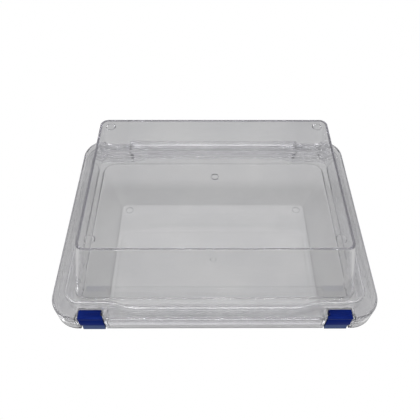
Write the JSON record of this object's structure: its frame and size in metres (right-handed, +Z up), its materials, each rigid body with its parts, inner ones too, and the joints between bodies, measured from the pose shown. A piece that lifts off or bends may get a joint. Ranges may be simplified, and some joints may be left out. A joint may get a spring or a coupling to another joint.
{
  "type": "hinged clear membrane box",
  "caption": "Clear hinged case in flared halves with a flat rim, stretched inner films that hold a sample between them, hinges at the back and snap latches on the front rim.",
  "frame": {"origin": "centre of the base's flat underside, on the surface it stands on", "axes": "+X to the right seen from the latch side, +Y from the latches to the hinges, +Z up"},
  "size_m": [0.271, 0.2108, 0.131],
  "materials": {
    "clear_polystyrene": "clear injection-moulded polystyrene, polished",
    "clear_film": "clear elastic polyurethane film, stretched",
    "clear_frame": "clear injection-moulded polystyrene frame",
    "blue_latch": "dark blue moulded polypropylene, semi-gloss",
    "clear_pin": "clear moulded acrylic rod"
  },
  "bodies": {
    "base": {"base_shell": "clear_polystyrene", "lower_film_frame": "clear_frame", "lower_film": "clear_film", "left_hinge_pin": "clear_pin", "right_hinge_pin": "clear_pin"},
    "lid": {"lid_shell": "clear_polystyrene", "upper_film_frame": "clear_frame", "upper_film": "clear_film", "left_latch_pin": "clear_pin", "right_latch_pin": "clear_pin"},
    "left_latch": {"left_latch": "blue_latch"},
    "right_latch": {"right_latch": "blue_latch"}
  },
  "joints": [
    {"name": "lid_hinge", "type": "hinge", "parent": "base", "child": "lid", "pos_m": [0, 0.1036, 0.0655], "axis": [-1, 0, 0], "range_deg": [0, 180]},
    {"name": "left_latch_pivot", "type": "hinge", "parent": "lid", "child": "left_latch", "pos_m": [-0.101, -0.0992, 0.0715], "axis": [-1, 0, 0], "range_deg": [0, 90]},
    {"name": "right_latch_pivot", "type": "hinge", "parent": "lid", "child": "right_latch", "pos_m": [0.101, -0.0992, 0.0715], "axis": [-1, 0, 0], "range_deg": [0, 90]}
  ]
}
